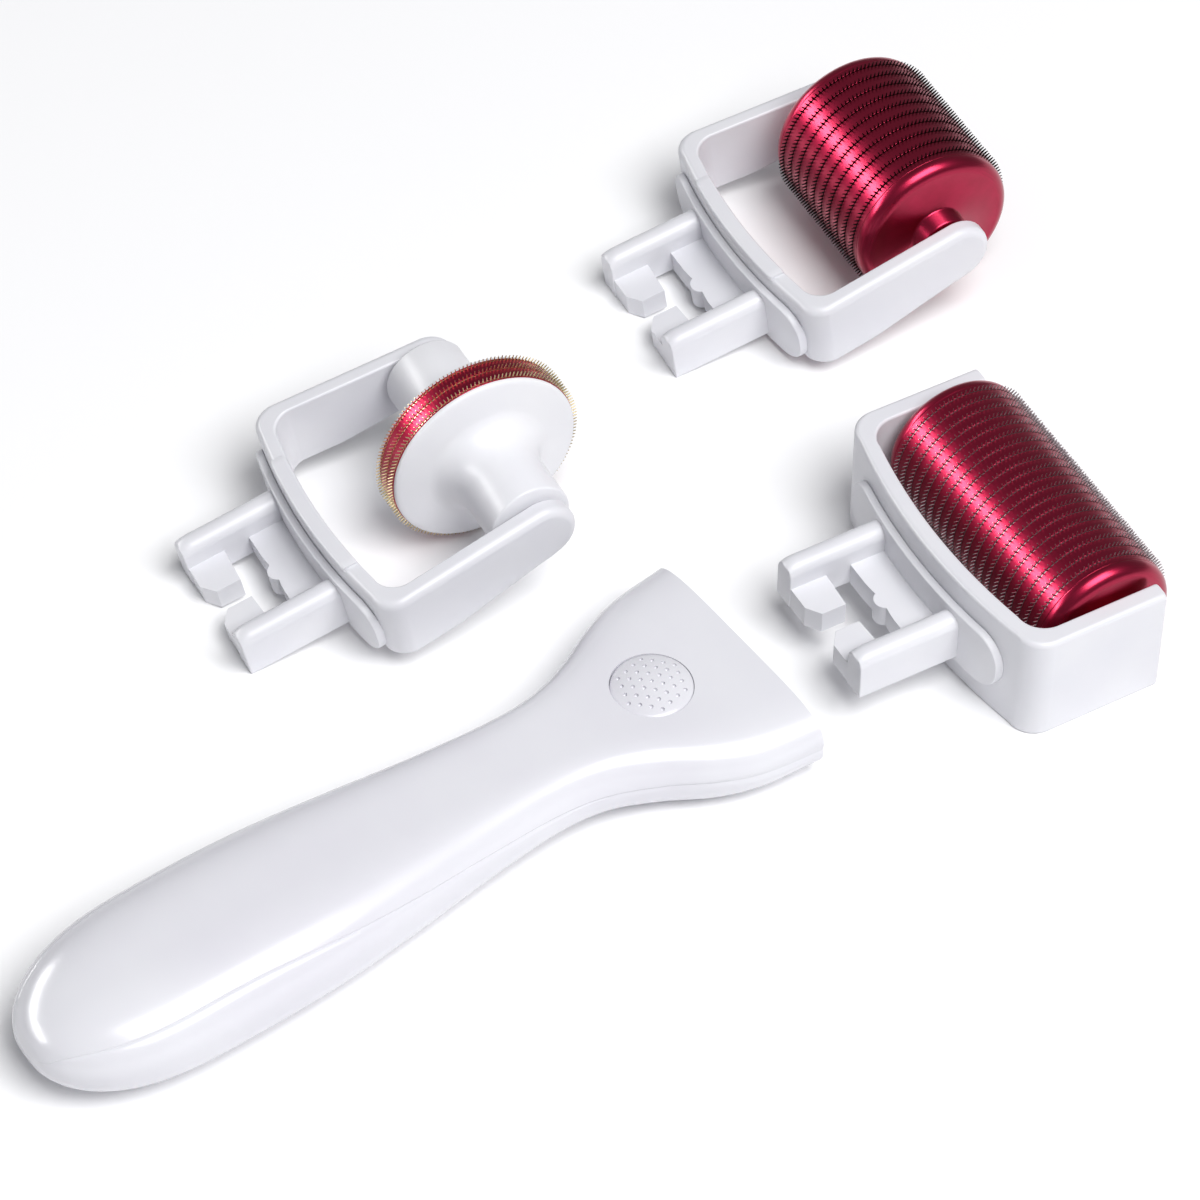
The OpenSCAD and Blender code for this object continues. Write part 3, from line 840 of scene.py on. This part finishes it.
def narrow_fork(kind, place):
    """Fork with tapered arms: a fan of half sections turns round the tip of each."""
    half, tip_half, taper_end, corner = 24.2, 21.6, 57.0, 4.0
    bottom, tip_x, tip_r, rise_x = -0.4, 49.8, 5.5, 32.0
    outer, inner = fork_path(half, tip_half, taper_end, corner, tip_x)
    tip_z, tip_bottom = NARROW_TOP - tip_r, NARROW_TOP - 2 * tip_r

    def underside(x):
        if x < rise_x:
            return bottom
        return bottom + (tip_bottom - bottom) * min((x - rise_x) / (tip_x - 1 - rise_x), 1)

    radii = (1.5, 0.45, 1.2)
    halves = [wall_section(o, i, underside(o[0]), tip_z, NARROW_TOP, radii)
              for o, i in zip(outer, inner)]
    one_side = [upper + lower for upper, lower in halves]
    turned_end, turns = halves[-1][0], 17
    cap = []
    for step in range(1, turns):
        a = math.radians(180 * step / turns)
        ring = []
        for x, y, z in turned_end:
            r = z - tip_z
            ring.append((x + r * math.sin(a), y, tip_z + r * math.cos(a)))
        cap.append(ring)
    return build_fork(kind + "_fork_moulding", one_side, cap, place)


def mirror_rings(rings):
    return [[(x, -y, z) for x, y, z in ring] for ring in rings]


def build_fork(name, one_side, cap, place):
    """Both arms, from one side's sections and, on a round tip, the fan that turns it over."""
    rings = mirror_rings(one_side[1:])[::-1] + one_side
    if not cap:
        return loft(name, rings, place)
    points, faces = skin(rings)
    n, half = len(one_side[0]), len(cap[0])
    for first, fan in ((len(points) - n, cap), (0, mirror_rings(cap))):
        upper = list(range(first, first + half))
        lower = list(range(first + half, first + n))
        strips = [upper]
        for ring in fan:
            strips.append(list(range(len(points), len(points) + half)))
            points += ring
        strips.append([upper[0]] + lower[::-1] + [upper[-1]])
        for a, b in zip(strips, strips[1:]):
            faces += [(a[j], a[j + 1], b[j + 1], b[j]) for j in range(half - 1)]
    return make_object(name, points, faces, place)


def wide_fork(kind, place):
    """Fork with square arms: the last few sections are drawn in to round the tips."""
    half, corner, bottom, top, end_x, edge_x = 28.0, 4.5, -6.6, 14.4, 45.5, 44.9
    outer, inner = fork_path(half, half, end_x, corner, edge_x)
    middle, radii, edge, edge_steps = (top + bottom) / 2, (0.9, 0.5, 0.6), 0.5, 4
    rings = []
    for o, i in zip(outer, inner):
        upper, lower = wall_section(o, i, bottom, middle, top, radii)
        rings.append(upper + lower)
    for k in range(1, edge_steps + 1):
        a = math.radians(90 * k / edge_steps)
        x, inset = end_x - edge + edge * math.sin(a), edge * (1 - math.cos(a))
        upper, lower = wall_section((x, outer[-1][1]), (x, inner[-1][1]), bottom, middle, top,
                                    radii, inset)
        rings.append(upper + lower)
    return build_fork(kind + "_fork_moulding", rings, [], place)


for kind, (place, yaw) in heads.items():
    shape = wide_fork(kind, place) if kind == "wide" else narrow_fork(kind, place)
    finish_head(shape, kind, "fork", 35)

# ---- Axles, bushes and cores ------------------------------------------------------------------------
# A ground steel pin is pressed into each fork's arms. Acetal bushes in the roller's ends turn on it,
# and an acetal core carries the rings. Only slivers of them show beside the hubs.

axle_steel = stainless("ground_steel_pin", 0.2, ("#B4B7BD", "#C8CBD0"))
for kind in ("disc", "mid", "wide"):
    dress(kind + "_axle", axle_steel)
    dress(kind + "_bushes", acetal)
for kind in ("mid", "wide"):
    dress(kind + "_core", acetal)

# ---- Drum rings ---------------------------------------------------------------------------------------
# The rollers' drums are stacks of crimson anodised aluminium rings with a needle ring clamped between
# each pair. The rings are turned, so fine lathe lines run round them and a groove shows at each joint.

RING_COUNT = {"disc": 3, "mid": 10, "wide": 20}
RING_PITCH = {"disc": 2.0, "mid": 2.6, "wide": 2.12}
RING_EDGE = {"disc": 0.35, "mid": 1.2, "wide": 1.2}
RING_THICK = 0.2
CORE_RADIUS = 6.0
DRUM_RADIUS = {"disc": 16.1, "mid": 14.0, "wide": 11.7}
LATHE_LINES = 9000.0


def anodised(name, yaw):
    """Crimson anodised aluminium: the dye glows where a light is mirrored and goes near black in
    the shade, and the turned surface smears highlights along the drum."""
    material, tree, shader = new_material(name, {
        "Metallic": 1.0, "Roughness": 0.3, "Coat Weight": 0.35, "Coat Roughness": 0.22,
        "Coat IOR": 1.6})
    place = add_node(tree, "ShaderNodeTexCoord")
    turn = add_node(tree, "ShaderNodeMapping", [("Vector", place.outputs["Object"])],
                    in_Rotation=(0.0, 0.0, -yaw))
    along = add_node(tree, "ShaderNodeMapping", [("Vector", turn.outputs["Vector"])],
                     in_Scale=(0.02, 1.0, 0.02))
    lines = add_node(tree, "ShaderNodeTexNoise", [("Vector", along.outputs["Vector"])],
                     in_Scale=LATHE_LINES, in_Detail=3.0, in_Roughness=0.7)
    dye = add_node(tree, "ShaderNodeValToRGB", [("Fac", lines.outputs["Fac"])])
    for stop, position, colour in zip(dye.color_ramp.elements, (0.25, 0.75),
                                      ("#980F34", "#AE1540")):
        stop.position, stop.color = position, hex_colour(colour)
    tree.links.new(dye.outputs["Color"], shader.inputs["Base Color"])
    bump = add_node(tree, "ShaderNodeBump", [("Height", lines.outputs["Fac"])],
                    in_Strength=0.12, in_Distance=0.00004)
    tree.links.new(bump.outputs["Normal"], shader.inputs["Normal"])
    return material


def axle_place(kind):
    """Matrix that lays a turned piece's axis along the roller's, its Z towards the far side."""
    joint = joints[kind + "_roller_spin"]
    axis = Vector(joint["axis"]).normalized()
    turn = axis.to_track_quat("Z", "Y").to_matrix().to_4x4()
    return Matrix.Translation(Vector(joint["pos_m"]) / MM) @ turn


def ring_spans(kind):
    first = -(RING_COUNT[kind] - 1) / 2 * RING_PITCH[kind]
    at = [first + RING_PITCH[kind] * i for i in range(RING_COUNT[kind])]
    edges = [at[0] - RING_EDGE[kind]] + at + [at[-1] + RING_EDGE[kind]]
    spans = []
    for i, (a, b) in enumerate(zip(edges, edges[1:])):
        low = a if i == 0 else a + RING_THICK / 2
        high = b if i == len(edges) - 2 else b - RING_THICK / 2
        spans.append((low, high))
    return at, spans


def join_pieces(whole, parts):
    """Joins the parts, with the whole among them, into the whole."""
    with bpy.context.temp_override(active_object=whole, selected_editable_objects=parts,
                                   object=whole, selected_objects=parts):
        bpy.ops.object.join()


def drum(kind, name, replaced):
    """All the drum rings of one roller, each with rounded rims, as one mesh."""
    rings, lip, radius = [], 0.05, DRUM_RADIUS[kind]
    for low, high in ring_spans(kind)[1]:
        profile = [(CORE_RADIUS, low), (radius - 3 * lip, low), (radius - lip, low + lip * 0.2),
                   (radius - lip * 0.3, low + lip * 0.6), (radius, low + lip * 1.3),
                   (radius, high - lip * 1.3), (radius - lip * 0.3, high - lip * 0.6),
                   (radius - lip, high - lip * 0.2), (radius - 3 * lip, high), (CORE_RADIUS, high)]
        rings.append(lathe("ring", profile, 120, axle_place(kind)))
    whole = rings[0]
    join_pieces(whole, rings)
    whole.name = whole.data.name = name
    flatten_normals(whole, 60)
    return finish(whole, kind + "_roller", crimson[kind], "crimson_metal", replaced)


crimson = {kind: anodised("crimson_anodised_" + kind, yaw)
           for kind, (place, yaw) in heads.items()}
drum("disc", "disc_crimson_band", "disc_band_rings")
for kind in ("mid", "wide"):
    drum(kind, kind + "_crimson_drum", kind + "_drum_rings")

# ---- End caps -----------------------------------------------------------------------------------------
# A crimson anodised cup closes each end of the two drums. Its rim is broadly rounded, its face is
# flat, and a boss in the middle runs against the arm.

BUSH_RADIUS, BOSS_RADIUS = 2.6, 4.6
HUB_REACH = {"disc": 18.4, "mid": 18.6, "wide": 24.4}


def both_sides(profile, side):
    return [(r, side * y) for r, y in profile]


def end_cap(kind, side, name, replaced):
    """Cup with a broad round rim, a flat face and a boss that runs against the arm."""
    start, reach, radius = ring_spans(kind)[1][-1][1], HUB_REACH[kind], DRUM_RADIUS[kind]
    depth, round_r = 2.4, 2.2
    face = start + depth
    profile = [(BUSH_RADIUS, start), (radius - 0.05, start), (radius, start + 0.15)]
    profile += arc_points((radius - round_r, face - round_r), round_r, 0, 90, 12)
    profile += [(BOSS_RADIUS + 0.3, face), (BOSS_RADIUS, face + 0.3), (BOSS_RADIUS, reach - 0.3),
                (BOSS_RADIUS - 0.3, reach), (BUSH_RADIUS, reach)]
    piece = lathe(name, both_sides(profile, side), 120, axle_place(kind))
    set_sharp(piece.data, 50)
    return finish(piece, kind + "_roller", crimson[kind], "crimson_metal", replaced)


for kind in ("mid", "wide"):
    for side, label in ((1, "left"), (-1, "right")):
        end_cap(kind, side, kind + "_crimson_cap_" + label, kind + "_cap_" + label)

# ---- Wheel sides --------------------------------------------------------------------------------------
# The narrow wheel is clamped between two white ABS discs. Each face rises gently from its rim and
# flares into a thick hub that fills the gap to the arm.

hub_abs = moulded_white("gloss_hub_abs", ("#E4E4E9", "#EAEAED"), 0.38, 60.0, 0.05)


def wheel_side(side, name, replaced):
    """Disc that rises gently from its rim and flares like a trumpet into its hub."""
    start, reach = ring_spans("disc")[1][-1][1], HUB_REACH["disc"]
    rim, hub, flare, flare_high, foot = DRUM_RADIUS["disc"] - 0.12, 6.9, 4.4, 6.2, start + 1.5
    profile = [(BUSH_RADIUS, start), (rim, start), (rim, start + 0.35), (rim - 0.1, start + 0.55),
               (rim - 0.35, start + 0.7)]
    profile += [(rim - 0.9, start + 0.85), (rim - 2.4, start + 1.05), (rim - 4.4, foot)]
    profile += [(hub + flare * (1 - math.sin(math.radians(a))),
                 foot + flare_high * (1 - math.cos(math.radians(a)))) for a in range(9, 91, 9)]
    profile += [(hub, reach - 0.35), (hub - 0.1, reach - 0.1), (hub - 0.35, reach),
                (BUSH_RADIUS, reach)]
    piece = lathe(name, both_sides(profile, side), 128, axle_place("disc"))
    set_sharp(piece.data, 50)
    return finish(piece, "disc_roller", hub_abs, "hub_white", replaced)


wheel_side(1, "disc_white_side_left", "disc_side_left")
wheel_side(-1, "disc_white_side_right", "disc_side_right")

# ---- Needle rings -------------------------------------------------------------------------------------
# Each needle ring is a thin stainless washer cut with a crown of fine points. The points stand square
# to the drum, and the rings are turned a little against each other so that the rows interleave.

NEEDLES = {"disc": 150, "mid": 120, "wide": 96}
NEEDLE_BASE = {"disc": 0.18, "mid": 0.23, "wide": 0.18}


def needle_tree():
    """One cone on each point of a circle, repeated for every ring along the axis."""
    tree, give = new_tree("needle_rings", Rings="Int", Pitch="Float", Needles="Int",
                          Radius="Float", Length="Float", Base="Float", Steel="Material",
                          Seed="Int")
    root, tip = 0.0002, 0.00008

    total = add_node(tree, "ShaderNodeMath", [(0, give["Rings"]), (1, give["Needles"])],
                     operation="MULTIPLY")
    spots = add_node(tree, "GeometryNodePoints", [("Count", total.outputs[0])])
    index = add_node(tree, "GeometryNodeInputIndex")
    # Ring number: the index is moved by a half so that no division falls on a whole number
    inside = add_node(tree, "ShaderNodeMath", [(0, index.outputs[0])], operation="ADD", in_1=0.5)
    part = add_node(tree, "ShaderNodeMath", [(0, inside.outputs[0]), (1, give["Needles"])],
                    operation="DIVIDE")
    ring = add_node(tree, "ShaderNodeMath", [(0, part.outputs[0])], operation="FLOOR")
    # Angle: each ring is turned half a needle further than the last
    spin = add_node(tree, "ShaderNodeMath", [(0, ring.outputs[0])], operation="MULTIPLY", in_1=0.5)
    turned = add_node(tree, "ShaderNodeMath", [(0, index.outputs[0]), (1, spin.outputs[0])],
                      operation="ADD")
    share = add_node(tree, "ShaderNodeMath", [(0, turned.outputs[0]), (1, give["Needles"])],
                     operation="DIVIDE")
    angle = add_node(tree, "ShaderNodeMath", [(0, share.outputs[0])], operation="MULTIPLY",
                     in_1=2 * math.pi)
    # Height along the axis, counted from the middle ring
    steps = add_node(tree, "ShaderNodeMath", [(0, give["Rings"])], operation="SUBTRACT", in_1=1)
    middle = add_node(tree, "ShaderNodeMath", [(0, steps.outputs[0])], operation="MULTIPLY",
                      in_1=0.5)
    off = add_node(tree, "ShaderNodeMath", [(0, ring.outputs[0]), (1, middle.outputs[0])],
                   operation="SUBTRACT")
    height = add_node(tree, "ShaderNodeMath", [(0, off.outputs[0]), (1, give["Pitch"])],
                      operation="MULTIPLY").outputs[0]
    foot = add_node(tree, "ShaderNodeMath", [(0, give["Radius"])], operation="SUBTRACT",
                    in_1=root)
    sides = []
    for wave in ("COSINE", "SINE"):
        turn = add_node(tree, "ShaderNodeMath", [(0, angle.outputs[0])], operation=wave)
        side = add_node(tree, "ShaderNodeMath", [(0, turn.outputs[0]), (1, foot.outputs[0])],
                        operation="MULTIPLY")
        sides.append(side.outputs[0])
    across, up = sides
    spot = add_node(tree, "ShaderNodeCombineXYZ", [("X", across), ("Y", up), ("Z", height)])
    placed = add_node(tree, "GeometryNodeSetPosition",
                      [("Geometry", spots.outputs[0]), ("Position", spot.outputs[0])])
    outward = add_node(tree, "ShaderNodeCombineXYZ", [("X", across), ("Y", up)])
    aim = add_node(tree, "FunctionNodeAlignRotationToVector", [("Vector", outward.outputs[0])],
                   axis="Z")
    depth = add_node(tree, "ShaderNodeMath", [(0, give["Length"])], operation="ADD", in_1=root)
    cone = add_node(tree, "GeometryNodeMeshCone",
                    [("Radius Bottom", give["Base"]), ("Depth", depth.outputs[0])],
                    in_Vertices=6, in_Radius_Top=tip)
    vary = add_node(tree, "FunctionNodeRandomValue", [("Seed", give["Seed"])], data_type="FLOAT",
                    in_2=0.93, in_3=1.0)
    stand = add_node(tree, "GeometryNodeInstanceOnPoints",
                     [("Points", placed.outputs[0]), ("Instance", cone.outputs["Mesh"]),
                      ("Rotation", aim.outputs[0]), ("Scale", vary.outputs[1])])
    return close_tree(tree, stand.outputs[0], give["Steel"])


def needles(kind, tree, material):
    """Every needle of one roller and the washers that carry them, as one mesh."""
    low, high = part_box(kind + "_needle_rings")
    length = (high.z - low.z) / 2 / MM - DRUM_RADIUS[kind]
    mesh = bpy.data.meshes.new(kind + "_needles")
    piece = bpy.data.objects.new(kind + "_needles", mesh)
    scene.collection.objects.link(piece)
    run_tree(piece, tree, Rings=RING_COUNT[kind], Pitch=RING_PITCH[kind] * MM,
             Needles=NEEDLES[kind], Radius=DRUM_RADIUS[kind] * MM, Length=length * MM,
             Base=NEEDLE_BASE[kind] * MM, Steel=material, Seed=7)
    washers, reach, thick = [], DRUM_RADIUS[kind] - 0.1, RING_THICK / 2
    for at in ring_spans(kind)[0]:
        profile = [(CORE_RADIUS, at - thick), (reach, at - thick), (reach, at + thick),
                   (CORE_RADIUS, at + thick)]
        washers.append(lathe("washer", profile, 72, axle_place(kind)))
    place = axle_place(kind)
    piece.data.transform(Matrix.Translation(place.translation * MM) @ place.to_3x3().to_4x4())
    join_pieces(piece, [piece] + washers)
    set_sharp(piece.data, 60)
    return finish(piece, kind + "_roller", material, "needle_steel", kind + "_needle_rings")


needle_steel = {
    "disc": stainless("tempered_needle_steel", 0.3, ("#B9A77F", "#DCCDA6")),
    # The mid roller's needles and the washers between its rings are painted near black: painted shade
    # between the dense needles and in the groove at each joint.
    "mid": stainless("dark_needle_steel", 0.5, ("#140C0E", "#2A1B1D")),
    "wide": stainless("needle_steel", 0.35, ("#6E5F63", "#A59A9D"))}
rings_tree = needle_tree()
for kind in ("disc", "mid", "wide"):
    needles(kind, rings_tree, needle_steel[kind])
